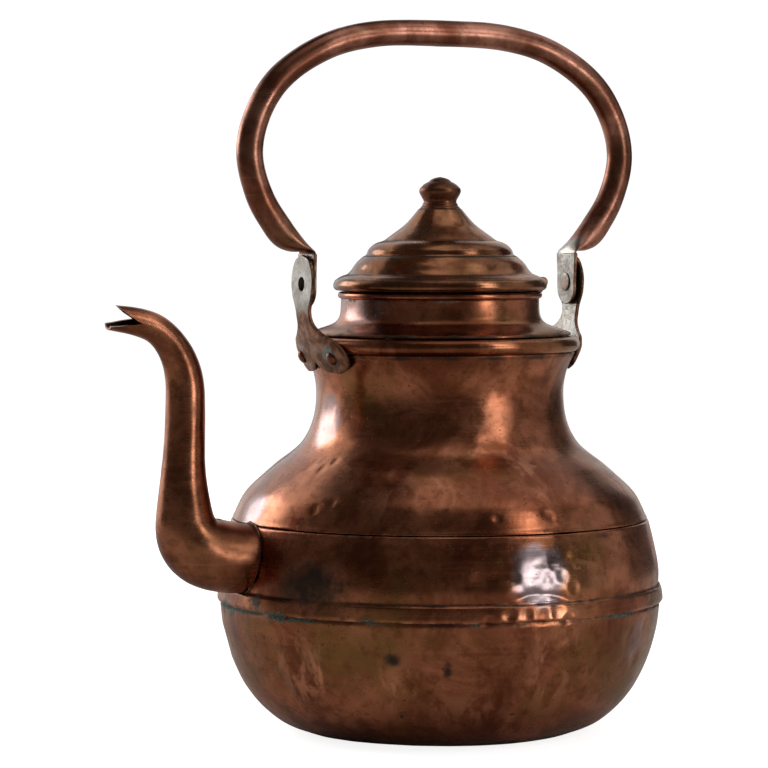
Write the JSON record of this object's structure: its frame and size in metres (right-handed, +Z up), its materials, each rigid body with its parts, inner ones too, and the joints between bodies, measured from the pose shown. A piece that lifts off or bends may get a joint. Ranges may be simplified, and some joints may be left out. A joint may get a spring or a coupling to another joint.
{
  "type": "coffee pot",
  "caption": "Round-bellied copper coffee pot with a long curved spout, a swinging arched handle and a stepped, knobbed lid on a rear hinge.",
  "frame": {"origin": "centre of the flat base, on the surface that the pot stands on", "axes": "+Z up along the axis of the body, spout towards -X, lid hinge at +X, the swing of the handle about an axis along X"},
  "size_m": [0.2627, 0.2008, 0.3181],
  "materials": {
    "aged_copper": "aged copper, dark red-brown patina, fine turned scratches and small dents, satin gloss",
    "handle_copper": "handled copper, smooth and satin, darker on its underside",
    "lid_copper": "aged copper with olive-brown patina and spun lines",
    "dark_copper": "dark brown tarnished copper",
    "tinned_metal": "worn tin plating, silver-grey with pits and copper showing through",
    "solder": "dull grey-green tin solder with verdigris"
  },
  "bodies": {
    "kettle": {"lower_bowl": "aged_copper", "belly_band": "aged_copper", "shoulder_neck": "aged_copper", "shoulder_ring": "aged_copper", "ring_wire": "dark_copper", "collar": "aged_copper", "collar_bead": "aged_copper", "spout": "aged_copper", "spout_solder": "solder", "front_bracket": "tinned_metal", "front_foot_rivet_1": "dark_copper", "front_foot_rivet_2": "dark_copper", "rear_bracket": "tinned_metal", "rear_foot_rivet_1": "dark_copper", "rear_foot_rivet_2": "dark_copper", "collar_hinge_leaf": "dark_copper", "hinge_pin": "dark_copper"},
    "handle": {"handle_tube": "handle_copper", "front_tab": "tinned_metal", "rear_tab": "tinned_metal", "front_pivot_rivet": "tinned_metal", "rear_pivot_rivet": "tinned_metal"},
    "lid": {"lid_dome": "lid_copper", "lid_flange": "lid_copper", "lid_knob": "dark_copper", "knob_washer": "dark_copper", "lid_hinge_leaf": "dark_copper"}
  },
  "joints": [
    {"name": "handle_swing", "type": "hinge", "parent": "kettle", "child": "handle", "pos_m": [0, 0, 0.2], "axis": [1, 0, 0], "range_deg": [-125, 125]},
    {"name": "lid_hinge", "type": "hinge", "parent": "kettle", "child": "lid", "pos_m": [0.051, 0, 0.2], "axis": [0, 1, 0], "range_deg": [0, 65]}
  ]
}
